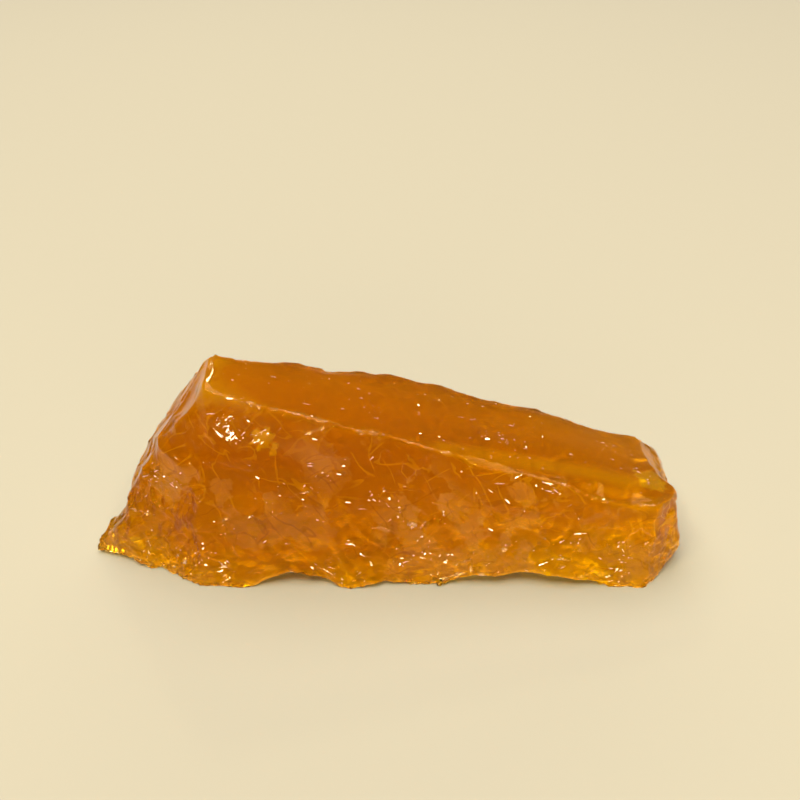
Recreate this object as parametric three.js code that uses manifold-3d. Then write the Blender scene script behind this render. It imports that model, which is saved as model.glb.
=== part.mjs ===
// One broken chunk of amber maltose candy, a single solid that lies on its rough underside.
// Millimetres, +Z up. +X runs from the tall end to the low end, and -Y is the side of the widest broken face.
// The origin is on the surface the chunk lies on, under the middle of its bounding box.

import * as THREE from "three";
import { mergeVertices } from "three/addons/utils/BufferGeometryUtils.js";
import Module from "manifold-3d";

const wasm = await Module();
wasm.setup();

// Driving dimensions
const chunkLength = 102; // tip of the spur to the low end
const chunkDepth = 38; // front foot to back foot
const tallHeight = 36; // upper edge at the tall end
const ridgeSoftness = 0.09; // how far the ridges between hollows are worn down
const facetJitter = 0.6; // how uneven the facets are, as a share of their grid
const seed = 1;

// The raw block that the breaks are cut from, and the reach of each cut
const rawMargin = 8;
const rawLength = chunkLength + 2 * rawMargin;
const rawDepth = chunkDepth + 2 * rawMargin;
const rawHeight = tallHeight + rawMargin;
const breakSpan = 150;
const breakThickness = 70;
const weld = 1e-4;

// Each break is a plane with a rough face. heading is where it faces in plan, 0 along +X and -90 towards the
// front, and rise is how far it faces up, both in degrees. bowl is the spacing of the shell-shaped hollows on it,
// hollow their depth and spread how unevenly deep they lie. flake and chip are the spacing and depth of the small
// hollows over those, and facet is the grid that the face is made on.
const breaks = {
  top: {
    through: [0, -14, 26.3], heading: -18, rise: 74,
    bowl: 26, hollow: 0.35, spread: 0.4, flake: 11, chip: 0.08, facet: 2.4,
  },
  front: {
    through: [2, -16.5, 12], heading: -90, rise: 10,
    bowl: 16, hollow: 0.6, spread: 0.9, flake: 7, chip: 0.35, facet: 1.4,
  },
  bevel: {
    through: [6, -14.4, 24.9], heading: -62, rise: 60,
    bowl: 14, hollow: 0.2, spread: 0.2, flake: 8, chip: 0.1, facet: 1.8,
  },
  frontLeft: {
    through: [-38, -15.6, 3], heading: -117, rise: 12,
    bowl: 12, hollow: 0.5, spread: 0.7, flake: 6, chip: 0.3, facet: 1.5,
  },
  leftEnd: {
    through: [-36.9, -8, 25.5], heading: -178, rise: 34,
    bowl: 11, hollow: 0.4, spread: 0.6, flake: 6, chip: 0.2, facet: 1.8,
  },
  leftFoot: {
    through: [-52, -9.5, 3], heading: 156, rise: 5,
    bowl: 10, hollow: 0.5, spread: 0.7, flake: 6, chip: 0.25, facet: 1.8,
  },
  leftShoulder: {
    through: [-31, -6, 35.4], heading: 172, rise: 58,
    bowl: 12, hollow: 0.4, spread: 0.4, flake: 7, chip: 0.15, facet: 1.8,
  },
  lowEnd: {
    through: [47.8, -10, 8], heading: 2, rise: 6,
    bowl: 13, hollow: 0.6, spread: 0.7, flake: 6, chip: 0.2, facet: 1.8,
  },
  lowEndFront: {
    through: [45, -15, 8], heading: -48, rise: 4,
    bowl: 13, hollow: 0.5, spread: 0.6, flake: 6, chip: 0.2, facet: 1.8,
  },
  lowShoulder: {
    through: [44.4, -4, 14.6], heading: 4, rise: 42,
    bowl: 9, hollow: 0.5, spread: 0.8, flake: 5, chip: 0.25, facet: 1.6,
  },
  lowUndercut: {
    through: [47.8, -12, 2.2], heading: -25, rise: -40,
    bowl: 9, hollow: 0.5, spread: 0.6, flake: 5, chip: 0.2, facet: 1.8,
  },
  back: {
    through: [0, 3.2, 28], heading: 91, rise: 31,
    bowl: 15, hollow: 0.8, spread: 1.3, flake: 7, chip: 0.25, facet: 1.8,
  },
  backRight: {
    through: [36, 2.8, 18], heading: 80, rise: 26,
    bowl: 14, hollow: 0.8, spread: 1.1, flake: 7, chip: 0.25, facet: 1.8,
  },
  backFoot: {
    through: [2, 17.6, 5], heading: 93, rise: 4,
    bowl: 13, hollow: 0.8, spread: 1.2, flake: 7, chip: 0.25, facet: 1.8,
  },
  underside: {
    through: [0, 0, 0.7], heading: 0, rise: -90,
    bowl: 17, hollow: 1.6, spread: 1.0, flake: 8, chip: 0.3, facet: 2.2,
  },
};

// Hollows cut out as ellipsoids: arches under the front edge, a chipped corner, and the curve over the flared foot
const scoopFacet = 2;
const scoops = [
  { centre: [-17.5, -20, -13.2], radii: [15.6, 11, 15.6] },
  { centre: [-2.5, -20, -9.8], radii: [11, 8, 11] },
  { centre: [21, -20, -38.8], radii: [41.6, 15, 41.6] },
  { centre: [47.4, -16.4, 18.6], radii: [4.4, 4.4, 4.4] },
  { centre: [-56.4, -8, 10.6], radii: [10, 22, 8.4] },
];

// Seeded random numbers from 0 to 1.
function randomFrom(start) {
  let state = start;
  return () => {
    state = (state + 0x6d2b79f5) | 0;
    let t = Math.imul(state ^ (state >>> 15), 1 | state);
    t = (t + Math.imul(t ^ (t >>> 7), 61 | t)) ^ t;
    return ((t ^ (t >>> 14)) >>> 0) / 4294967296;
  };
}

function weldedPositions(geometry) {
  geometry.deleteAttribute("normal");
  geometry.deleteAttribute("uv");
  return mergeVertices(geometry, weld);
}

// A three.js geometry as a solid that can be joined and cut.
function solidOf(geometry) {
  const welded = weldedPositions(geometry);
  return new wasm.Manifold(
    new wasm.Mesh({
      numProp: 3,
      vertProperties: welded.attributes.position.array,
      triVerts: new Uint32Array(welded.index.array),
    }),
  );
}

function geometryOf(solid) {
  const mesh = solid.getMesh();
  return new THREE.BufferGeometry()
    .setAttribute("position", new THREE.BufferAttribute(new Float32Array(mesh.vertProperties), 3))
    .setIndex(new THREE.BufferAttribute(new Uint32Array(mesh.triVerts), 1));
}

// Moves each corner of a geometry to where change puts it.
function reshape(geometry, change) {
  const position = geometry.attributes.position;
  const corner = new THREE.Vector3();
  for (let i = 0; i < position.count; i++) {
    change(corner.fromBufferAttribute(position, i));
    position.setXYZ(i, corner.x, corner.y, corner.z);
  }
}

// Height of a broken face over its plane: stretched shell-shaped bowls that meet in worn ridges.
function shellRelief(bowl, hollow, spread, random) {
  const bowls = [];
  for (let u = -breakSpan / 2; u <= breakSpan / 2; u += bowl) {
    for (let v = -breakSpan / 2; v <= breakSpan / 2; v += bowl) {
      const turn = random() * Math.PI;
      bowls.push({
        u: u + (random() - 0.5) * bowl,
        v: v + (random() - 0.5) * bowl,
        lift: (random() - 0.5) * spread,
        across: [Math.cos(turn), Math.sin(turn)],
        stretch: 1 + random(),
      });
    }
  }
  const reach = bowl / 2;
  return (u, v) => {
    let sum = 0;
    for (const b of bowls) {
      const du = (u - b.u) / reach;
      const dv = (v - b.v) / reach;
      const short = du * b.across[0] + dv * b.across[1];
      const long = (dv * b.across[0] - du * b.across[1]) / b.stretch;
      const height = b.lift + hollow * (short * short + long * long);
      sum += Math.exp(-height / ridgeSoftness);
    }
    return -ridgeSoftness * Math.log(sum);
  };
}

function facing(heading, rise) {
  const turn = THREE.MathUtils.degToRad(heading);
  const lift = THREE.MathUtils.degToRad(rise);
  const outward = new THREE.Vector3(
    Math.cos(lift) * Math.cos(turn),
    Math.cos(lift) * Math.sin(turn),
    Math.sin(lift),
  );
  const along = new THREE.Vector3(-Math.sin(turn), Math.cos(turn), 0);
  const up = new THREE.Vector3().crossVectors(outward, along);
  return new THREE.Matrix4().makeBasis(along, up, outward);
}

// What lies outside one break: a thick slab whose inner face is the rough one.
function breakCutter(spec, random) {
  const cells = Math.round(breakSpan / spec.facet);
  const slab = weldedPositions(new THREE.BoxGeometry(breakSpan, breakSpan, breakThickness, cells, cells, 1));
  slab.translate(0, 0, breakThickness / 2);
  const bowls = shellRelief(spec.bowl, spec.hollow, spec.spread, random);
  const flakes = shellRelief(spec.flake, spec.chip, spec.chip, random);
  const jitter = () => (random() - 0.5) * facetJitter * spec.facet;
  reshape(slab, (corner) => {
    if (corner.z > breakThickness / 2) return;
    corner.x += jitter();
    corner.y += jitter();
    corner.z = bowls(corner.x, corner.y) + flakes(corner.x, corner.y);
  });
  slab.applyMatrix4(facing(spec.heading, spec.rise));
  slab.translate(...spec.through);
  return solidOf(slab);
}

function rawBlock() {
  const block = new THREE.BoxGeometry(rawLength, rawDepth, rawHeight);
  block.translate(0, 0, rawHeight / 2);
  return solidOf(block);
}

function scoopSolid({ centre, radii }) {
  const detail = Math.ceil(Math.max(...radii) / scoopFacet);
  const ball = new THREE.IcosahedronGeometry(1, detail);
  ball.scale(...radii);
  ball.translate(...centre);
  return solidOf(ball);
}

function candySolid() {
  const random = randomFrom(seed);
  let candy = rawBlock();
  for (const spec of Object.values(breaks)) candy = candy.subtract(breakCutter(spec, random));
  for (const scoop of scoops) candy = candy.subtract(scoopSolid(scoop));
  return candy;
}

// Puts the middle of the bounding box over the origin and leaves the height as it is.
function centred(geometry) {
  geometry.computeBoundingBox();
  const middle = geometry.boundingBox.getCenter(new THREE.Vector3());
  return geometry.translate(-middle.x, -middle.y, 0);
}

const amber = new THREE.MeshStandardMaterial({ color: 0xc87008, roughness: 0.12, metalness: 0 });
const chunk = new THREE.Mesh(centred(geometryOf(candySolid())), amber);
chunk.name = "candy_chunk";

const candy = new THREE.Group();
candy.add(chunk);

export default candy;
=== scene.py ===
import math
import random

import bmesh
import bpy
import numpy as np
from mathutils import Matrix, Vector, noise
from mathutils.bvhtree import BVHTree


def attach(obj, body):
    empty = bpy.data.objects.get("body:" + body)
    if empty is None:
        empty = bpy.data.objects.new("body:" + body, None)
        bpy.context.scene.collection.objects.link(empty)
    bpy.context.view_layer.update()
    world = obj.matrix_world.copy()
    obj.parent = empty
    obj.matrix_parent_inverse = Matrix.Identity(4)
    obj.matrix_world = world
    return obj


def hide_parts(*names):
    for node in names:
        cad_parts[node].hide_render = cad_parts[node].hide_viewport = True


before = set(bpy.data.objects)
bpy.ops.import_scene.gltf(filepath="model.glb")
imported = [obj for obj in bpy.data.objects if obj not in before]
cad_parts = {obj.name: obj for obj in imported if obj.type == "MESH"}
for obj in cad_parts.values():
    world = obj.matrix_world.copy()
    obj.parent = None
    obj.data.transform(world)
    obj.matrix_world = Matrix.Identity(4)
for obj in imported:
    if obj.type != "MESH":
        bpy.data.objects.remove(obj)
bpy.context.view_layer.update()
mm = 0.001  # one millimetre in Blender's metres


# The candy's shape: a fine copy of the solid, knapped with small bowls, flake scars, folds and creases

# lengths are in mm, a bend is 0 on a flat face, and a facing is 1 where the surface looks straight that way
candyShape = {
    "seed": 11,
    "weld": 0.001,  # joins the loose triangles of the solid
    "voxel": 0.545,  # grid of the first mesh, halved on the front and the ends
    "fineFront": 0.35,  # facings from which the grid is halved
    "fineEnd": 0.55,
    "meltPasses": 9,  # smoothing passes over the solid's facets
    "meltLook": 6,  # passes over which the bend is measured, for the melt and for all that comes after
    "edgeLook": 8,
    "sharpBend": (0.03, 0.12),  # bends that start to keep their place in the melt, and that fully do
    "sharpen": 0.45,  # pushes the broken edges out again, no further than the reach
    "sharpenPasses": 3,
    "sharpenReach": 0.25,
    "creaseAngle": 60.0,  # degrees, sharper folds of the mesh show as edges
    "bowls": [(7.0, 0.30, 0.30), (2.8, 0.04, 0.05)],  # across, depth, unevenness
    "bowlCurve": 4.0,  # a bowl has its depth at half its size from the middle
    "bowlWarp": 0.35,
    "bowlWarpSize": 0.8,
    "bowlDraw": 71.3,  # spreads the bowls' middles, so that each draws a level of its own
    "topFacing": (0.72, 0.92),
    "topShare": 0.14,  # share of the bowls that the smooth top keeps
    "topCalm": 0.92,  # how much plainer the top's finish is, and that of the highest part of the faces
    "upperCalm": 0.5,
    "upperPart": (20.0, 28.0),
    "wander": [(5.0, 0.45), (1.6, 0.22)],  # size and amount of the bends in a scar's outline
    "ripple": 1.3,
    "rippleHeight": 0.02,
    "edgeKeep": (0.03, 0.09),  # bends where the knapping starts to fade, and where an upper edge stays
    "edgeHeight": (4.0, 8.0),
    "edgeHold": 0.85,
    "edgeSmoothing": 0.15,
    "frontEdge": -6.0,  # edges further back aren't crushed
    "edgeCrushed": 0.5,
    "crushedBend": (0.04, 0.09),
    "crushedCore": 0.33,  # share of a crushed spot's reach that is crushed in full
    "crest": (0.10, 0.28),  # bulge where a fold starts to shine, and where it fully does
    "crestCalm": 0.95,
    "lieLook": 6,  # passes that smooth the way the surface lies under the tiny ledges
}

# where flakes came off: how many, mm long, width as a share of that, mm deep, the spread of their heading,
# and how frosted they are at most
scarZones = {
    "front": dict(
        count=40, length=(10.0, 24.0), slim=(0.35, 0.75), depth=(0.25, 0.55), turn=1.2, frost=0.7,
    ),
    "frontMiddle": dict(
        count=110, length=(4.0, 10.0), slim=(0.3, 0.8), depth=(0.14, 0.36), turn=1.3, frost=1.0,
    ),
    "frontSmall": dict(
        count=90, length=(1.4, 4.0), slim=(0.25, 0.8), depth=(0.08, 0.20), turn=1.5, frost=1.0,
    ),
    "lowerFront": dict(
        count=80, length=(1.6, 5.0), slim=(0.3, 0.8), depth=(0.12, 0.30), turn=1.4, frost=1.0,
    ),
    "tallEnd": dict(
        count=80, length=(5.0, 16.0), slim=(0.07, 0.18), depth=(0.15, 0.40), turn=0.35, frost=0.2,
    ),
    "lowEnd": dict(
        count=60, length=(2.0, 7.0), slim=(0.35, 0.9), depth=(0.12, 0.30), turn=1.5, frost=0.6,
    ),
    "top": dict(
        count=6, length=(12.0, 28.0), slim=(0.3, 0.7), depth=(0.02, 0.05), turn=3.1, frost=0.3,
    ),
    "back": dict(
        count=150, length=(5.0, 15.0), slim=(0.35, 0.8), depth=(0.16, 0.42), turn=1.4, frost=0.8,
    ),
    "backSmall": dict(
        count=140, length=(1.8, 4.5), slim=(0.35, 0.8), depth=(0.10, 0.28), turn=1.5, frost=1.0,
    ),
    "underside": dict(
        count=60, length=(5.0, 14.0), slim=(0.4, 0.9), depth=(0.10, 0.30), turn=3.1, frost=0.6,
    ),
    "footEdge": dict(
        count=130, length=(0.8, 2.6), slim=(0.4, 1.0), depth=(0.15, 0.45), turn=3.1, frost=1.0,
    ),
    "edges": dict(
        count=60, length=(1.2, 3.6), slim=(0.4, 1.0), depth=(0.06, 0.18), turn=3.1, frost=0.8,
    ),
}

# limits of those zones: facings, the bend of an edge, and heights in mm
zoneLimits = {
    "front": 0.6,
    "end": 0.5,
    "top": 0.85,
    "back": 0.4,
    "underside": 0.7,
    "edge": 0.04,
    "lowerFront": 8.0,
    "tallEnd": 8.0,
    "footEdge": 2.5,
    "footBack": 0.3,
}

# one scar: its reach as a share of its size, and how its depth and its frost grow towards its end
scarForm = {
    "reach": 0.75,
    "sameFacing": 0.65,  # faces that look further away aren't cut
    "level": 0.8,  # on flatter faces a scar heads to the front, on others down
    "depthGrowth": 2.5,
    "frostGrowth": 1.5,
    "frostSpread": 1.5,
}

# crushed spots that glitter: centre and reach in mm, and strength
crushedSpots = [
    ((-24.8, -14.3, 28.4), 4.0, 1.0),
    ((-20.0, -14.6, 26.9), 2.0, 0.8),
    ((-38.5, -11.6, 16.0), 5.5, 0.7),
    ((-46.0, -11.0, 5.0), 5.5, 0.8),
    ((-38.5, -14.5, 4.0), 5.5, 0.7),
    ((-30.0, -18.5, 2.8), 7.0, 0.8),
    ((-15.0, -16.8, 17.0), 4.0, 0.5),
    ((-1.0, -16.2, 16.0), 3.5, 0.5),
    ((-9.0, -18.4, 4.2), 6.5, 0.8),
    ((7.0, -18.4, 4.2), 6.5, 0.6),
    ((42.5, -4.0, 16.8), 6.0, 1.0),
    ((44.8, -10.0, 15.6), 3.2, 0.8),
    ((27.1, -16.4, 18.2), 2.4, 0.8),
    ((38.0, -18.0, 3.0), 6.5, 0.8),
    ((-3.2, -6.9, 28.5), 4.0, 0.3),
    ((20.5, -9.2, 22.1), 5.5, 0.4),
]

# thin curved hairlines of the front, in mm, drawn in short steps
hairlines = {
    "count": 110,
    "length": (3.0, 13.0),
    "width": (0.30, 0.55),
    "height": (0.08, 0.20),
    "curl": 0.16,
    "step": 0.25,
    "window": 1.5,  # points further away along the candy aren't looked at
}

# single creases: the line through the surface, width and depth in mm, below zero for a raised fold
creases = [
    ([(35.0, -14.8, 17.4), (31.6, -17.1, 14.0), (30.5, -17.4, 10.5), (26.6, -18.6, 5.2)], 0.8, 0.34),
    ([(30.7, -17.0, 13.3), (33.0, -17.7, 9.7), (34.3, -18.3, 7.1)], 0.7, 0.24),
    ([(11.3, -16.6, 18.0), (15.5, -16.4, 14.9), (20.2, -16.6, 11.6)], 0.6, 0.30),
    ([(15.1, -16.3, 15.8), (18.8, -16.6, 13.0), (24.4, -16.6, 12.0)], 0.5, 0.20),
    ([(-31.0, -13.5, 23.6), (-27.5, -14.0, 28.6), (-24.0, -13.2, 33.0)], 0.6, -0.22),
    ([(-21.4, -13.9, 32.7), (-22.5, -14.3, 29.2)], 0.9, -0.40),
    ([(-24.5, -1.5, 34.8), (-22.6, -4.7, 33.9), (-19.7, -7.9, 32.8)], 1.2, -0.05),
]


def copyOfNode(nodeName, pieceName, weld):
    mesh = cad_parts[nodeName].data.copy()
    mesh.materials.clear()
    piece = bpy.data.objects.new(pieceName, mesh)
    bpy.context.scene.collection.objects.link(piece)
    bm = bmesh.new()
    bm.from_mesh(mesh)
    bmesh.ops.remove_doubles(bm, verts=bm.verts, dist=weld * mm)
    bm.to_mesh(mesh)
    bm.free()
    return piece


def voxelRemesh(piece, voxel):
    remesh = piece.modifiers.new("fine", "REMESH")
    remesh.mode = "VOXEL"
    remesh.voxel_size = voxel * mm
    coarse = piece.data
    ready = piece.evaluated_get(bpy.context.evaluated_depsgraph_get())
    piece.data = bpy.data.meshes.new_from_object(ready)
    piece.modifiers.clear()
    bpy.data.meshes.remove(coarse)


def linksOf(mesh):
    ends = np.empty(len(mesh.edges) * 2, dtype=np.int32)
    mesh.edges.foreach_get("vertices", ends)
    return ends.reshape(-1, 2).T


# adds up for each point what its links bring to it
def linkSum(links, atFirst, atSecond, total):
    first, second = links
    return np.bincount(first, atFirst, total) + np.bincount(second, atSecond, total)


def linkCount(links, total):
    first, second = links
    return np.bincount(first, minlength=total) + np.bincount(second, minlength=total)


# mean of each point's neighbours along the mesh
def nearMean(values, links):
    first, second = links
    total = len(values)
    columns = [linkSum(links, column[second], column[first], total) for column in values.T]
    return np.stack(columns, axis=1) / linkCount(links, total)[:, None]


def softened(values, links, passes):
    for _ in range(passes):
        values = 0.5 * values + 0.5 * nearMean(values, links)
    return values


def placesAndNormals(mesh):
    spots = np.empty(len(mesh.vertices) * 3)
    mesh.vertices.foreach_get("co", spots)
    normals = np.empty(len(mesh.vertices) * 3)
    mesh.vertices.foreach_get("normal", normals)
    return spots.reshape(-1, 3) / mm, normals.reshape(-1, 3)


def movePlaces(mesh, spots):
    mesh.vertices.foreach_set("co", (spots * mm).ravel())
    mesh.update()


def addValues(mesh, name, values):
    mesh.attributes.new(name, "FLOAT", "POINT").data.foreach_set("value", values)


def readValues(mesh, name):
    values = np.empty(len(mesh.vertices))
    mesh.attributes[name].data.foreach_get("value", values)
    return values


# values of sorted points, put back in the mesh's own order
def unsorted(values, order):
    result = np.empty_like(values)
    result[order] = values
    return result


def ramp(values, low, high):
    return np.clip((values - low) / (high - low), 0.0, 1.0)


def noiseAt(spots, size):
    return np.array([noise.noise(Vector(s) / size) for s in spots])


def distanceToLine(spots, line):
    points = np.array(line)
    nearest = np.full(len(spots), np.inf)
    for start, end in zip(points[:-1], points[1:]):
        run = end - start
        share = np.clip((spots - start) @ run / run.dot(run), 0.0, 1.0)
        away = np.linalg.norm(spots - start - share[:, None] * run, axis=1)
        nearest = np.minimum(nearest, away)
    return nearest


# how much the surface bends around each point, high along the broken edges
def bendOf(normals, links, passes):
    return 1.0 - np.linalg.norm(softened(normals, links, passes), axis=1)


# melts the facets of the solid and keeps its broken edges
def meltFacets(mesh, shape):
    spots, normals = placesAndNormals(mesh)
    links = linksOf(mesh)
    loose = 1.0 - ramp(bendOf(normals, links, shape["meltLook"]), *shape["sharpBend"])
    for _ in range(shape["meltPasses"]):
        spots += 0.5 * loose[:, None] * (nearMean(spots, links) - spots)
    movePlaces(mesh, spots)


# halves the grid where the small flakes show most
def refine(mesh, shape):
    bm = bmesh.new()
    bm.from_mesh(mesh)
    edges = set()
    for face in bm.faces:
        if face.normal.y < -shape["fineFront"] or abs(face.normal.x) > shape["fineEnd"]:
            edges.update(face.edges)
    bmesh.ops.subdivide_edges(bm, edges=list(edges), cuts=1, use_grid_fill=True)
    bm.to_mesh(mesh)
    bm.free()


# pushes the broken edges out to a crisp line
def sharpenEdges(mesh, shape):
    spots, normals = placesAndNormals(mesh)
    links = linksOf(mesh)
    edge = ramp(bendOf(normals, links, shape["edgeLook"]), *shape["sharpBend"])
    crisp = spots.copy()
    for _ in range(shape["sharpenPasses"]):
        crisp += shape["sharpen"] * edge[:, None] * (crisp - nearMean(crisp, links))
    push = crisp - spots
    far = np.maximum(np.linalg.norm(push, axis=1), shape["weld"])
    movePlaces(mesh, spots + push * np.minimum(1.0, shape["sharpenReach"] / far)[:, None])


# how far each point bulges out of its neighbours, for its share of their distance
def bulgeOf(mesh):
    spots, normals = placesAndNormals(mesh)
    links = linksOf(mesh)
    first, second = links
    total = len(spots)
    far = np.linalg.norm(spots[first] - spots[second], axis=1)
    reach = linkSum(links, far, far, total) / linkCount(links, total)
    return ((spots - nearMean(spots, links)) * normals).sum(axis=1) / reach


# bowls of uneven depth that meet in sharp ridges
def bowlHeights(spots, size, depth, unevenness, shape):
    curve = shape["bowlCurve"] * depth
    heights = []
    for spot in spots:
        q = Vector(spot) / size
        q += noise.noise_vector(q * shape["bowlWarpSize"]) * shape["bowlWarp"]
        levels = []
        for away, centre in zip(*noise.voronoi(q)):
            levels.append(curve * away * away + unevenness * noise.cell(centre * shape["bowlDraw"]))
        heights.append(min(levels))
    return np.array(heights)


# a shallow cut that fades in along its heading and ends in a curved step, and heads down at turn 0
def cutScar(surface, at, length, width, depth, turn, frost):
    spots, normals = surface["spots"], surface["normals"]
    facing = normals[at]
    level = abs(facing[2]) >= scarForm["level"]
    down = np.array((0.0, -1.0, 0.0) if level else (0.0, 0.0, -1.0))
    down = down - facing * down.dot(facing)
    down /= np.linalg.norm(down)
    along = math.cos(turn) * down + math.sin(turn) * np.cross(facing, down)
    across = np.cross(facing, along)
    reach = scarForm["reach"] * max(length, width)
    low, high = np.searchsorted(spots[:, 0], (spots[at, 0] - reach, spots[at, 0] + reach))
    offset = spots[low:high] - spots[at]
    bend = surface["wander"][low:high]
    u = offset @ along / (0.5 * length) + bend[:, 0]
    v = offset @ across / (0.5 * width) + bend[:, 1]
    near = np.abs(offset @ facing) < reach
    near &= normals[low:high] @ facing > scarForm["sameFacing"]
    inside = near & (u * u + v * v < 1.0)
    rise = 0.5 + 0.5 * u[inside]
    surface["heights"][low:high][inside] -= depth * rise ** scarForm["depthGrowth"]
    frosted = surface["frost"][low:high]
    frosted[inside] = np.maximum(frosted[inside], frost * rise ** scarForm["frostGrowth"])


def cutScars(surface, places, look, picker):
    for _ in range(look["count"]):
        length = picker.uniform(*look["length"])
        width = length * picker.uniform(*look["slim"])
        depth = picker.uniform(*look["depth"])
        frost = look["frost"] * picker.random() ** scarForm["frostSpread"]
        at = picker.choice(places)
        turn = picker.gauss(0.0, look["turn"])
        cutScar(surface, at, length, width, depth, turn, frost)


# low folds and cuts that wander over the front, drawn in x and z
def drawHairlines(surface, places, look, picker):
    spots, heights = surface["spots"], surface["heights"]
    stride, window = look["step"], look["window"]
    for _ in range(look["count"]):
        x, _, z = spots[picker.choice(places)]
        heading = picker.uniform(0.0, math.pi)
        curl = picker.gauss(0.0, look["curl"])
        width = picker.uniform(*look["width"])
        height = picker.choice((-1.0, 1.0)) * picker.uniform(*look["height"])
        steps = int(picker.uniform(*look["length"]) / stride)
        fade = np.zeros(len(spots))
        for step in range(steps):
            low, high = np.searchsorted(spots[:, 0], (x - window, x + window))
            away = np.hypot(spots[low:high, 0] - x, spots[low:high, 2] - z)
            taper = math.sin(math.pi * (step + 0.5) / steps)
            fade[low:high] = np.maximum(fade[low:high], taper * np.clip(1.0 - away / width, 0.0, 1.0))
            x += stride * math.cos(heading)
            z += stride * math.sin(heading)
            heading += stride * curl
        heights[places] += height * fade[places]


def zonesOf(spots, normals, bend, limits):
    x, y, z = normals.T
    height = spots[:, 2]
    front = (y < -limits["front"]) & (x > -limits["front"])
    back = y > limits["back"]
    edge = bend > limits["edge"]
    zones = {
        "front": front,
        "frontMiddle": front,
        "frontSmall": front,
        "lowerFront": front & (height < limits["lowerFront"]),
        "tallEnd": (x < -limits["end"]) & (height > limits["tallEnd"]),
        "lowEnd": x > limits["end"],
        "top": z > limits["top"],
        "back": back,
        "backSmall": back,
        "underside": z < -limits["underside"],
        "footEdge": edge & (height < limits["footEdge"]) & (y < limits["footBack"]),
        "edges": edge,
    }
    return {name: np.flatnonzero(inside) for name, inside in zones.items()}


# how far each point is knapped in or out, and how frosted it is
def reliefOf(spots, normals, bend, top, shape):
    heights = np.zeros(len(spots))
    for size, depth, unevenness in shape["bowls"]:
        heights += bowlHeights(spots, size, depth, unevenness, shape)
    heights *= 1.0 - (1.0 - shape["topShare"]) * top
    print("bowls done")
    wander = np.zeros((len(spots), 2))
    for size, amount in shape["wander"]:
        wander += amount * np.array([noise.noise_vector(Vector(s) / size) for s in spots])[:, :2]
    surface = {
        "spots": spots,
        "normals": normals,
        "heights": heights,
        "wander": wander,
        "frost": np.zeros(len(spots)),
    }
    zones = zonesOf(spots, normals, bend, zoneLimits)
    picker = random.Random(shape["seed"])
    for name, look in scarZones.items():
        cutScars(surface, zones[name], look, picker)
    drawHairlines(surface, zones["front"], hairlines, picker)
    print("flakes done")
    for line, width, depth in creases:
        heights -= depth * (1.0 - ramp(distanceToLine(spots, line), 0.0, width))
    heights += shape["rippleHeight"] * noiseAt(spots, shape["ripple"])
    return heights, surface["frost"]


# the edges at the front, and the spots that are crushed
def crushedParts(spots, bend, frontEdge, shape):
    crushed = shape["edgeCrushed"] * ramp(bend, *shape["crushedBend"]) * frontEdge
    for centre, reach, strength in crushedSpots:
        away = np.linalg.norm(spots - np.array(centre), axis=1)
        inside = 1.0 - ramp(away, shape["crushedCore"] * reach, reach)
        crushed = np.maximum(crushed, strength * inside)
    return crushed


# knaps the surface, and marks where it is folded, frosted, crushed and flaky
def knap(piece, shape):
    noise.seed_set(shape["seed"])
    mesh = piece.data
    spots, normals = placesAndNormals(mesh)
    links = linksOf(mesh)
    bend = bendOf(normals, links, shape["edgeLook"])
    order = np.argsort(spots[:, 0])
    spots, normals, bend = spots[order], normals[order], bend[order]
    top = ramp(normals[:, 2], *shape["topFacing"])
    upperEdge = ramp(bend, *shape["edgeKeep"]) * ramp(spots[:, 2], *shape["edgeHeight"])
    frontEdge = spots[:, 1] < shape["frontEdge"]
    heights, frost = reliefOf(spots, normals, bend, top, shape)
    heights = (heights - heights.mean()) * (1.0 - shape["edgeHold"] * upperEdge)
    moved = unsorted(spots + normals * heights[:, None], order)
    moved += shape["edgeSmoothing"] * (nearMean(moved, links) - moved)
    moved[:, 2] = np.maximum(moved[:, 2], 0.0)
    movePlaces(mesh, moved)
    calm = shape["crestCalm"] * np.maximum(top, upperEdge) * (1.0 - upperEdge * frontEdge)
    addValues(mesh, "crest", ramp(bulgeOf(mesh), *shape["crest"]) * unsorted(1.0 - calm, order))
    lie = softened(unsorted(normals, order), links, shape["lieLook"])
    mesh.attributes.new("lie", "FLOAT_VECTOR", "POINT").data.foreach_set("vector", lie.ravel())
    upper = ramp(spots[:, 2], *shape["upperPart"])
    marks = {
        "edge": bend,
        "frost": frost,
        "crushed": crushedParts(spots, bend, frontEdge, shape),
        "flaky": (1.0 - shape["topCalm"] * top) * (1.0 - shape["upperCalm"] * upper),
    }
    for name, values in marks.items():
        addValues(mesh, name, unsorted(values, order))
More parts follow.
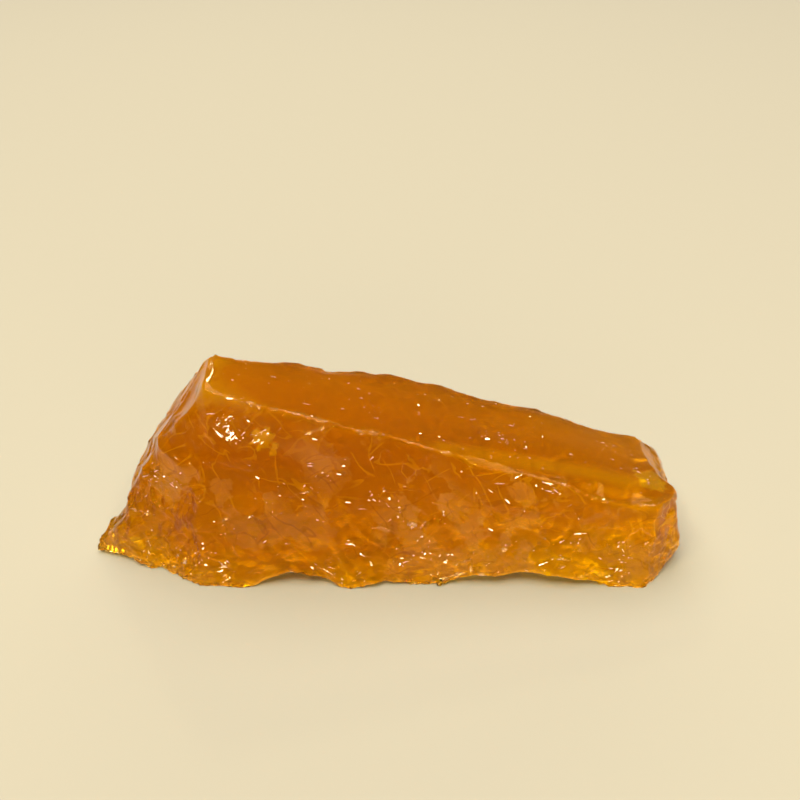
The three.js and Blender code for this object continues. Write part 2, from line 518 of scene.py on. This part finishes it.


# The candy's tones: a painted golden glow on thin rims, the foot and the bevel, where light would shine
# through, and painted shade, a deeper amber, higher up, at the ends and on the top

# pairs are the limits between which a tone grows or fades, lengths and places are in mm
candyTones = {
    "seed": 7,
    "thinReach": 24.0,  # how far, and how often, the look goes inward from a point
    "thinLooks": 8,
    "lookStart": 0.3,
    "shortestDraw": 0.1,
    "thin": (0.48, 0.80),
    "facingPasses": 4,  # passes that smooth the facings
    "foot": (6.5, 11.0),  # height of the foot's painted golden glow at the tall end, and at the low end
    "footRun": (5.0, 30.0),  # places along the candy between which it rises
    "footFade": (0.1, 1.0),
    "footPatch": 7.0,
    "footUneven": 3.0,
    "edge": (0.03, 0.14),
    "edgeShare": 0.25,
    "bevelLine": [(9.6, -13.8, 24.5), (18.7, -13.3, 22.1), (28.4, -12.2, 19.7), (41.2, -11.8, 16.6)],
    "bevel": (0.8, 2.4),
    "bevelFacing": (0.4, 0.7),
    "bevelShare": 0.5,
    # pale chips: painted reflections of internal cracks, golden and frosted
    "paleChips": [
        ((44.8, -10.0, 15.6), 3.0),
        ((-20.0, -14.6, 26.9), 1.9),
        ((-19.0, -14.6, 25.4), 1.3),
    ],
    "chipCore": 0.85,
    "tornSize": 1.1,  # how finely, and how far, the outline of a pale chip is torn
    "torn": 1.4,
    "amberTips": 0.6,  # how far the spur and the low end stay amber
    "spurEnd": (-46.0, -40.0),
    "lowEnd": (39.0, 45.0),
    # painted shade: upright faces, heights, ends and the top where the amber is made deeper
    "upright": (0.40, 0.75),
    "deep": (8.0, 24.0),
    "ends": 1.0,
    "endFacing": (0.3, 0.7),
    "top": 0.4,
    "topFacing": (0.75, 0.90),
}


# how little candy lies behind each point, from short looks inward all round
def thinnessOf(piece, look):
    picker = random.Random(look["seed"])
    directions = []
    while len(directions) < look["thinLooks"]:
        d = Vector([picker.gauss(0.0, 1.0) for _ in range(3)])
        if d.length > look["shortestDraw"]:
            directions.append(d.normalized())
    tree = BVHTree.FromObject(piece, bpy.context.evaluated_depsgraph_get())
    reach = look["thinReach"]
    values = []
    for v in piece.data.vertices:
        inward = -v.normal
        start = v.co + inward * look["lookStart"] * mm
        total = 0.0
        for d in directions:
            way = d if d.dot(inward) > 0.0 else -d
            hit, _, _, far = tree.ray_cast(start, way, reach * mm)
            total += far / mm if hit else reach
        values.append(1.0 - total / (reach * len(directions)))
    return np.array(values)


# painted golden glow where light would shine through thin rims, the foot and the narrow bevel, and painted
# shade where the amber is made deeper
def markTones(piece, look):
    mesh = piece.data
    spots, normals = placesAndNormals(mesh)
    x, _, z = spots.T
    sideways, _, upward = softened(normals, linksOf(mesh), look["facingPasses"]).T
    thin = ramp(thinnessOf(piece, look), *look["thin"])
    tallFoot, lowFoot = look["foot"]
    footTop = tallFoot + (lowFoot - tallFoot) * ramp(x, *look["footRun"])
    uneven = look["footUneven"] * noiseAt(spots, look["footPatch"])
    foot = 1.0 - ramp((z + uneven) / footTop, *look["footFade"])
    edge = look["edgeShare"] * ramp(readValues(mesh, "edge"), *look["edge"])
    offLine = ramp(distanceToLine(spots, look["bevelLine"]), *look["bevel"])
    bevel = ramp(upward, *look["bevelFacing"]) * (1.0 - offLine)
    # painted glow: golden where light would shine through thin parts, the foot, the edges and the bevel
    paintedGlow = np.maximum.reduce([thin, foot, edge, look["bevelShare"] * bevel])
    tips = 1.0 - ramp(x, *look["spurEnd"]) + ramp(x, *look["lowEnd"])
    paintedGlow *= 1.0 - look["amberTips"] * tips
    upright = 1.0 - ramp(upward, *look["upright"])
    ends = look["ends"] * ramp(np.abs(sideways), *look["endFacing"])
    # painted shade: deeper amber on upright faces higher up, at the ends and on the top, but not on the
    # bevel
    deep = upright * np.maximum(ramp(z, *look["deep"]), ends)
    deep = np.maximum(deep, look["top"] * ramp(upward, *look["topFacing"])) * (1.0 - bevel)
    frost = readValues(mesh, "frost")
    torn = look["torn"] * noiseAt(spots, look["tornSize"])
    # pale chips: painted reflections of internal cracks, added to the painted glow and the frost
    for centre, reach in look["paleChips"]:
        away = np.linalg.norm(spots - np.array(centre), axis=1) + torn
        chip = 1.0 - ramp(away, look["chipCore"] * reach, reach)
        paintedGlow = np.maximum(paintedGlow, chip)
        frost = np.maximum(frost, chip)
    mesh.attributes["frost"].data.foreach_set("value", frost)
    addValues(mesh, "paintedGlow", paintedGlow)
    addValues(mesh, "deep", deep)


candy = copyOfNode("candy_chunk", "maltose_candy", candyShape["weld"])
voxelRemesh(candy, candyShape["voxel"])
meltFacets(candy.data, candyShape)
refine(candy.data, candyShape)
sharpenEdges(candy.data, candyShape)
print("fine mesh", len(candy.data.polygons), "faces")
knap(candy, candyShape)
print("breaks done")
markTones(candy, candyTones)
candy.data.shade_smooth()
candy.data.set_sharp_from_angle(angle=math.radians(candyShape["creaseAngle"]))
print("tones marked")


# The candy's finish: cloudy amber sugar glass

# scales are per mm, lengths in mm, and pairs give where a pattern starts and where it is full
candyFinish = {
    "bodyColour": (0.82, 0.43, 0.03),
    # deeper amber for the painted shade higher up, at the ends and on the top
    "deepColour": (0.47, 0.185, 0.012),
    # golden for the painted glow where light would shine through thin parts, the foot and the bevel
    "paintedGlowColour": (1.0, 0.84, 0.08),
    "frostAndSheenColour": (1.0, 0.68, 0.20),  # frosted patches, partly frost and partly painted sheen, and pale lines of painted sheen
    "shadeLineColour": (0.40, 0.14, 0.01),  # painted shade along the dark lines
    "frostAndSheenTint": 0.7,
    "sheenLineTint": 0.42,
    "shadeLineTint": 0.35,
    "roughness": 0.10,
    "hazeRoughness": 0.26,  # where the broken face is frosted
    "ior": 1.42,
    "shineTint": (0.50, 0.30, 0.05),
    "curveScale": 0.2,  # how ledges, lines and patches curve, and how far
    "curveReach": 1.8,
    "tornScale": 0.12,  # torn outlines of the frosted patches
    "tornDetail": 5.0,
    "torn": (0.50, 0.52),
    "fieldScale": 0.07,  # broad fields that have such patches
    "field": (0.36, 0.62),
    "frostFull": 0.8,
    "hazeLeast": 0.45,
    # the pale lines are painted sheen along flake edges
    "paleLines": [(-35.0, 0.22, 0.016), (40.0, 0.30, 0.020), (-8.0, 0.16, 0.012), (70.0, 0.25, 0.018)],
    "darkLines": [(-25.0, 0.24, 0.014), (50.0, 0.20, 0.012)],  # heading in degrees, scale, width
    "lineStretch": 4.5,
    "lineDetail": 1.5,
    "gapScale": 0.6,  # gaps in a line, to the line's own scale
    "gap": (0.50, 0.60),
    "bumpScale": 0.7,
    "bumpDetail": 3.0,
    "bumpStrength": 0.14,
    "bumpDepth": 0.2,
    "shineIor": 2.2,  # the bright shine of frosted flakes, folds and tiny ledges
    "frostShine": 0.30,
    "frostRoughness": 0.30,
    "foldScale": 0.5,
    "fold": (0.46, 0.58),
    "foldShine": 0.45,
    "foldLift": 0.5,
    "ledgeTurns": (40.0, -35.0, 6.0),  # degrees
    "ledgeSize": 0.24,
    "ledgeStretch": 10.0,
    "ledgeCore": 0.52,  # part of its cell that a ledge fills
    "ledgeShare": 0.012,  # share of the tiny ledges that stand out, and where the candy is crushed
    "crushedShare": 0.38,
    "clusterScale": 0.22,
    "cluster": (0.40, 0.62),
    "ledgeLift": 0.85,
    "ledgeSpread": 0.6,
    "ledgeRoughness": 0.08,
    "depthColour": (0.95, 0.86, 0.0),
    "depthDensity": 250.0,
    "cloudColour": (1.0, 0.85, 0.0),
    "cloudDensity": 80.0,
    "cloudForward": 0.3,
}

noiseMiddle = 0.5  # the mean of a noise pattern


def opaque(colour):
    return (*colour, 1.0)


def addNode(tree, kind, **settings):
    node = tree.nodes.new(kind)
    for name, value in settings.items():
        setattr(node, name, value)
    return node


# sets a number or a vector on a socket, and links anything else to it
def feed(tree, socket, value):
    if isinstance(value, (float, tuple)):
        socket.default_value = value
    else:
        tree.links.new(value, socket)


def noiseNode(tree, place, scale, detail=1.0, output="Fac"):
    node = addNode(tree, "ShaderNodeTexNoise")
    node.inputs["Scale"].default_value = scale
    node.inputs["Detail"].default_value = detail
    feed(tree, node.inputs["Vector"], place)
    return node.outputs[output]


def rampNode(tree, value, low, high, start=0.0, end=1.0):
    node = addNode(tree, "ShaderNodeMapRange", interpolation_type="SMOOTHSTEP")
    node.inputs["From Min"].default_value = low
    node.inputs["From Max"].default_value = high
    node.inputs["To Min"].default_value = start
    node.inputs["To Max"].default_value = end
    feed(tree, node.inputs["Value"], value)
    return node.outputs["Result"]


def attributeNode(tree, name, output="Fac"):
    return addNode(tree, "ShaderNodeAttribute", attribute_name=name).outputs[output]


def mathNode(tree, operation, *values):
    node = addNode(tree, "ShaderNodeMath", operation=operation)
    for socket, value in zip(node.inputs, values):
        feed(tree, socket, value)
    return node.outputs["Value"]


def times(tree, first, second):
    return mathNode(tree, "MULTIPLY", first, second)


def larger(tree, first, second):
    return mathNode(tree, "MAXIMUM", first, second)


def vectorNode(tree, operation, *values):
    node = addNode(tree, "ShaderNodeVectorMath", operation=operation)
    for socket, value in zip(node.inputs, values):
        feed(tree, socket, value)
    return node.outputs["Vector"]


def scaled(tree, vector, amount):
    node = addNode(tree, "ShaderNodeVectorMath", operation="SCALE")
    feed(tree, node.inputs["Vector"], vector)
    node.inputs["Scale"].default_value = amount
    return node.outputs["Vector"]


# a noise colour as a vector that leans any way
def anyWay(tree, colour):
    return vectorNode(tree, "SUBTRACT", colour, (noiseMiddle, noiseMiddle, noiseMiddle))


def mixNode(tree, kind, first, second, share):
    node = addNode(tree, "ShaderNodeMix", data_type=kind)
    feed(tree, node.inputs["A"], first)
    feed(tree, node.inputs["B"], second)
    feed(tree, node.inputs["Factor"], share)
    return node.outputs["Result"]


def tinted(tree, colour, tint, share):
    return mixNode(tree, "RGBA", colour, opaque(tint), share)


# places in a pattern that is long in one heading, turned in degrees in the plane of the front
def stretched(tree, where, turn, size, stretch):
    lean = addNode(tree, "ShaderNodeMapping", vector_type="TEXTURE")
    lean.inputs["Rotation"].default_value = (0.0, math.radians(turn), 0.0)
    lean.inputs["Scale"].default_value = (size * stretch, size, size)
    feed(tree, lean.inputs["Vector"], where)
    return lean.outputs["Vector"]


# tiny flat ledges in long cells: where they stand out, and how they lean up from the surface
def ledges(tree, where, share, lean, turn, finish):
    long = stretched(tree, where, turn, finish["ledgeSize"], finish["ledgeStretch"])
    cells = addNode(tree, "ShaderNodeTexVoronoi", distance="MANHATTAN")
    cells.inputs["Scale"].default_value = 1.0
    feed(tree, cells.inputs["Vector"], long)
    pick = addNode(tree, "ShaderNodeSeparateColor")
    feed(tree, pick.inputs["Color"], cells.outputs["Color"])
    chosen = mathNode(tree, "LESS_THAN", pick.outputs["Red"], share)
    core = mathNode(tree, "LESS_THAN", cells.outputs["Distance"], finish["ledgeCore"])
    way = addNode(tree, "ShaderNodeTexWhiteNoise", noise_dimensions="3D")
    feed(tree, way.inputs["Vector"], cells.outputs["Position"])
    tilt = scaled(tree, anyWay(tree, way.outputs["Color"]), finish["ledgeSpread"])
    return times(tree, chosen, core), vectorNode(tree, "ADD", tilt, lean)


# long thin broken lines that sweep over the surface in one heading
def wrinkle(tree, where, line, finish):
    turn, scale, width = line
    long = stretched(tree, where, turn, 1.0, finish["lineStretch"])
    level = mathNode(tree, "SUBTRACT", noiseNode(tree, long, scale, finish["lineDetail"]), noiseMiddle)
    thread = rampNode(tree, mathNode(tree, "ABSOLUTE", level), 0.5 * width, width, 1.0, 0.0)
    gaps = rampNode(tree, noiseNode(tree, where, finish["gapScale"] * scale), *finish["gap"])
    return times(tree, thread, gaps)


def placesInMm(tree):
    toMm = addNode(tree, "ShaderNodeMapping")
    toMm.inputs["Scale"].default_value = (1.0 / mm, 1.0 / mm, 1.0 / mm)
    feed(tree, toMm.inputs["Vector"], addNode(tree, "ShaderNodeTexCoord").outputs["Object"])
    return toMm.outputs["Vector"]


def curvedPlaces(tree, where, finish):
    sway = anyWay(tree, noiseNode(tree, where, finish["curveScale"], output="Color"))
    return vectorNode(tree, "ADD", where, scaled(tree, sway, finish["curveReach"]))


# frosted patches with torn outlines, strongest where flakes came off
def hazePatches(tree, where, curved, flaky, finish):
    torn = noiseNode(tree, curved, finish["tornScale"], finish["tornDetail"])
    field = noiseNode(tree, where, finish["fieldScale"])
    haze = times(tree, rampNode(tree, torn, *finish["torn"]), rampNode(tree, field, *finish["field"]))
    haze = times(tree, haze, flaky)
    frost = attributeNode(tree, "frost")
    return times(tree, haze, rampNode(tree, frost, 0.0, finish["frostFull"], finish["hazeLeast"], 1.0))


# amber with painted shade where it deepens and a painted golden glow where it is thin, as marked, under
# pale frosted patches that are partly painted sheen, pale lines of painted sheen and dark lines of painted
# shade
def amberColour(tree, curved, haze, flaky, finish):
    body = opaque(finish["bodyColour"])
    # painted shade where the amber is made deeper
    colour = tinted(tree, body, finish["deepColour"], attributeNode(tree, "deep"))
    # painted golden glow on thin parts, the foot and the bevel
    colour = tinted(tree, colour, finish["paintedGlowColour"], attributeNode(tree, "paintedGlow"))
    # pale frosted patches, partly frost and partly painted sheen, with pale lines of painted sheen
    pale = times(tree, haze, finish["frostAndSheenTint"])
    for line in finish["paleLines"]:
        pale = larger(tree, pale, times(tree, wrinkle(tree, curved, line, finish), finish["sheenLineTint"]))
    colour = tinted(tree, colour, finish["frostAndSheenColour"], times(tree, pale, flaky))
    # painted shade along the dark lines
    for line in finish["darkLines"]:
        dark = times(tree, wrinkle(tree, curved, line, finish), flaky)
        colour = tinted(tree, colour, finish["shadeLineColour"], times(tree, dark, finish["shadeLineTint"]))
    return colour


def fineBump(tree, where, finish):
    bump = addNode(tree, "ShaderNodeBump")
    bump.inputs["Strength"].default_value = finish["bumpStrength"]
    bump.inputs["Distance"].default_value = finish["bumpDepth"] * mm
    feed(tree, bump.inputs["Height"], noiseNode(tree, where, finish["bumpScale"], finish["bumpDetail"]))
    return bump.outputs["Normal"]


# the way the surface lies under its small relief
def smoothLie(tree):
    lie = addNode(tree, "ShaderNodeVectorTransform", vector_type="NORMAL")
    lie.convert_from = "OBJECT"
    lie.convert_to = "WORLD"
    feed(tree, lie.inputs["Vector"], attributeNode(tree, "lie", "Vector"))
    return lie.outputs["Vector"]


# ledges lean up on steep faces, and to the front on level ones
def ledgeLean(tree, lie, finish):
    parts = addNode(tree, "ShaderNodeSeparateXYZ")
    feed(tree, parts.inputs["Vector"], lie)
    level = times(tree, parts.outputs["Z"], parts.outputs["Z"])
    lift = finish["ledgeLift"]
    return mixNode(tree, "VECTOR", (0.0, 0.0, lift), (0.0, -lift, 0.0), level)


# the shine over the amber: dull on frosted patches, bright on folds and on tiny ledges
def addShine(tree, shader, where, curved, haze, finish):
    breaks = rampNode(tree, noiseNode(tree, where, finish["foldScale"]), *finish["fold"])
    fold = times(tree, attributeNode(tree, "crest"), breaks)
    upright = addNode(tree, "ShaderNodeCombineXYZ")
    feed(tree, upright.inputs["Z"], times(tree, fold, finish["foldLift"]))
    normal = addNode(tree, "ShaderNodeNewGeometry").outputs["Normal"]
    facing = vectorNode(tree, "ADD", normal, upright.outputs["Vector"])
    frostShine = times(tree, haze, finish["frostShine"])
    shine = larger(tree, frostShine, times(tree, fold, finish["foldShine"]))
    bright = fold
    lie = smoothLie(tree)
    lean = ledgeLean(tree, lie, finish)
    crushed = attributeNode(tree, "crushed")
    share = rampNode(tree, crushed, 0.0, 1.0, finish["ledgeShare"], finish["crushedShare"])
    cluster = rampNode(tree, noiseNode(tree, where, finish["clusterScale"]), *finish["cluster"])
    share = times(tree, share, cluster)
    for turn in finish["ledgeTurns"]:
        here, tilt = ledges(tree, curved, share, lean, turn, finish)
        facing = mixNode(tree, "VECTOR", facing, vectorNode(tree, "ADD", lie, tilt), here)
        shine = larger(tree, shine, here)
        bright = larger(tree, bright, here)
    smooth = rampNode(tree, bright, 0.0, 1.0, finish["frostRoughness"], finish["ledgeRoughness"])
    feed(tree, shader.inputs["Coat Normal"], vectorNode(tree, "NORMALIZE", facing))
    feed(tree, shader.inputs["Coat Weight"], shine)
    feed(tree, shader.inputs["Coat Roughness"], smooth)
    shader.inputs["Coat IOR"].default_value = finish["shineIor"]


# the inside takes up light on its way, and scatters it
def cloudyInside(tree, finish):
    depth = addNode(tree, "ShaderNodeVolumeAbsorption")
    depth.inputs["Color"].default_value = opaque(finish["depthColour"])
    depth.inputs["Density"].default_value = finish["depthDensity"]
    cloud = addNode(tree, "ShaderNodeVolumeScatter")
    cloud.inputs["Color"].default_value = opaque(finish["cloudColour"])
    cloud.inputs["Density"].default_value = finish["cloudDensity"]
    cloud.inputs["Anisotropy"].default_value = finish["cloudForward"]
    inside = addNode(tree, "ShaderNodeAddShader")
    feed(tree, inside.inputs[0], depth.outputs["Volume"])
    feed(tree, inside.inputs[1], cloud.outputs["Volume"])
    return inside.outputs["Shader"]


def amberMaterial(finish):
    material = bpy.data.materials.new("amber_candy")
    material.use_nodes = True
    tree = material.node_tree
    shader = tree.nodes["Principled BSDF"]
    where = placesInMm(tree)
    curved = curvedPlaces(tree, where, finish)
    flaky = attributeNode(tree, "flaky")
    haze = hazePatches(tree, where, curved, flaky, finish)
    rough = rampNode(tree, haze, 0.0, 1.0, finish["roughness"], finish["hazeRoughness"])
    feed(tree, shader.inputs["Roughness"], rough)
    feed(tree, shader.inputs["Base Color"], amberColour(tree, curved, haze, flaky, finish))
    feed(tree, shader.inputs["Normal"], fineBump(tree, where, finish))
    addShine(tree, shader, where, curved, haze, finish)
    shader.inputs["IOR"].default_value = finish["ior"]
    shader.inputs["Specular Tint"].default_value = opaque(finish["shineTint"])
    shader.inputs["Transmission Weight"].default_value = 1.0
    feed(tree, tree.nodes["Material Output"].inputs["Volume"], cloudyInside(tree, finish))
    return material


candy.data.materials.append(amberMaterial(candyFinish))
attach(candy, "root")
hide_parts("candy_chunk")
print("finish done")


# Floor, light and camera

studio = {
    "floorSize": 16.0,  # metres
    "floorDrop": 0.05,  # mm, keeps the floor off the flat base
    "floorColour": (0.25, 0.238, 0.25),
    "floorRoughness": 0.7,
    "skyColour": (1.0, 0.98, 0.95),
    "skyStrength": 0.05,
    "topFrom": (-0.10, 0.10, 1.20),  # where the overhead light comes from
    "topSpread": 74.0,  # degrees
    "topPower": 5.9,
    "topColour": (1.0, 0.93, 0.68),
    "boxColour": (1.0, 0.88, 0.45),
    "lens": 51.4,
    "cameraPlace": (2.25, -172.24, 122.73),  # mm
    "cameraPitch": 29.43,  # degrees below the horizon
    "cameraNear": 5.0,  # mm
    "bounces": 12,
    "insideBounces": 6,
}

# place and size in metres, watts, and whether the candy mirrors the box or only lets its light through
softBoxes = {
    "front": dict(place=(-0.50, -1.24, 1.90), size=(1.0, 0.7), power=50.0, mirrored=True),
    "glintLeft": dict(place=(-0.30, -0.28, 0.62), size=(0.06, 0.06), power=1.2, mirrored=True),
    "glintRight": dict(place=(0.28, -0.36, 0.60), size=(0.06, 0.06), power=1.2, mirrored=True),
    "low": dict(place=(0.17, -3.15, 0.63), size=(3.15, 0.7), power=74.0, mirrored=False),
    "glintRear": dict(place=(-0.07, 0.52, 0.45), size=(0.05, 0.05), power=0.6, mirrored=True),
    "rear": dict(place=(0.35, 3.32, 0.70), size=(4.2, 0.98), power=153.0, mirrored=False),
}


def makeFloor(look):
    bm = bmesh.new()
    bmesh.ops.create_grid(bm, x_segments=1, y_segments=1, size=look["floorSize"] / 2)
    mesh = bpy.data.meshes.new("floor")
    bm.to_mesh(mesh)
    bm.free()
    mesh.transform(Matrix.Translation((0.0, 0.0, -look["floorDrop"] * mm)))
    floor = bpy.data.objects.new("floor", mesh)
    bpy.context.scene.collection.objects.link(floor)
    material = bpy.data.materials.new("pale_floor")
    material.use_nodes = True
    shader = material.node_tree.nodes["Principled BSDF"]
    shader.inputs["Base Color"].default_value = opaque(look["floorColour"])
    shader.inputs["Roughness"].default_value = look["floorRoughness"]
    shader.inputs["Specular IOR Level"].default_value = 0.0
    mesh.materials.append(material)


def makeSky(look):
    world = bpy.data.worlds.new("soft_sky")
    world.use_nodes = True
    background = world.node_tree.nodes["Background"]
    background.inputs["Color"].default_value = opaque(look["skyColour"])
    background.inputs["Strength"].default_value = look["skyStrength"]
    bpy.context.scene.world = world


# a lamp that shines from a place towards the candy
def hangLamp(name, data, place):
    lamp = bpy.data.objects.new(name, data)
    lamp.location = place
    lamp.rotation_euler = (-Vector(place)).to_track_quat("-Z", "Y").to_euler()
    bpy.context.scene.collection.objects.link(lamp)
    return lamp


# one wide soft light from above, even over the whole floor
def makeOverhead(look):
    data = bpy.data.lights.new("overhead", "SUN")
    data.energy = look["topPower"]
    data.color = look["topColour"]
    data.angle = math.radians(look["topSpread"])
    hangLamp("overhead", data, look["topFrom"])


def makeSoftBox(name, box, colour):
    data = bpy.data.lights.new(name, "AREA")
    data.shape = "RECTANGLE"
    data.size, data.size_y = box["size"]
    data.energy = box["power"]
    data.color = colour
    lamp = hangLamp(name, data, box["place"])
    lamp.visible_glossy = box["mirrored"]


def makeCamera(look):
    data = bpy.data.cameras.new("camera")
    data.lens = look["lens"]
    data.clip_start = look["cameraNear"] * mm
    camera = bpy.data.objects.new("camera", data)
    camera.location = Vector(look["cameraPlace"]) * mm
    camera.rotation_euler = (math.radians(90.0 - look["cameraPitch"]), 0.0, 0.0)
    bpy.context.scene.collection.objects.link(camera)
    bpy.context.scene.camera = camera


makeFloor(studio)
makeSky(studio)
makeOverhead(studio)
for boxName, box in softBoxes.items():
    makeSoftBox(boxName, box, studio["boxColour"])
makeCamera(studio)
bpy.context.scene.view_settings.view_transform = "Standard"
bpy.context.scene.cycles.max_bounces = studio["bounces"]
bpy.context.scene.cycles.transmission_bounces = studio["bounces"]
bpy.context.scene.cycles.volume_bounces = studio["insideBounces"]
print("studio done")
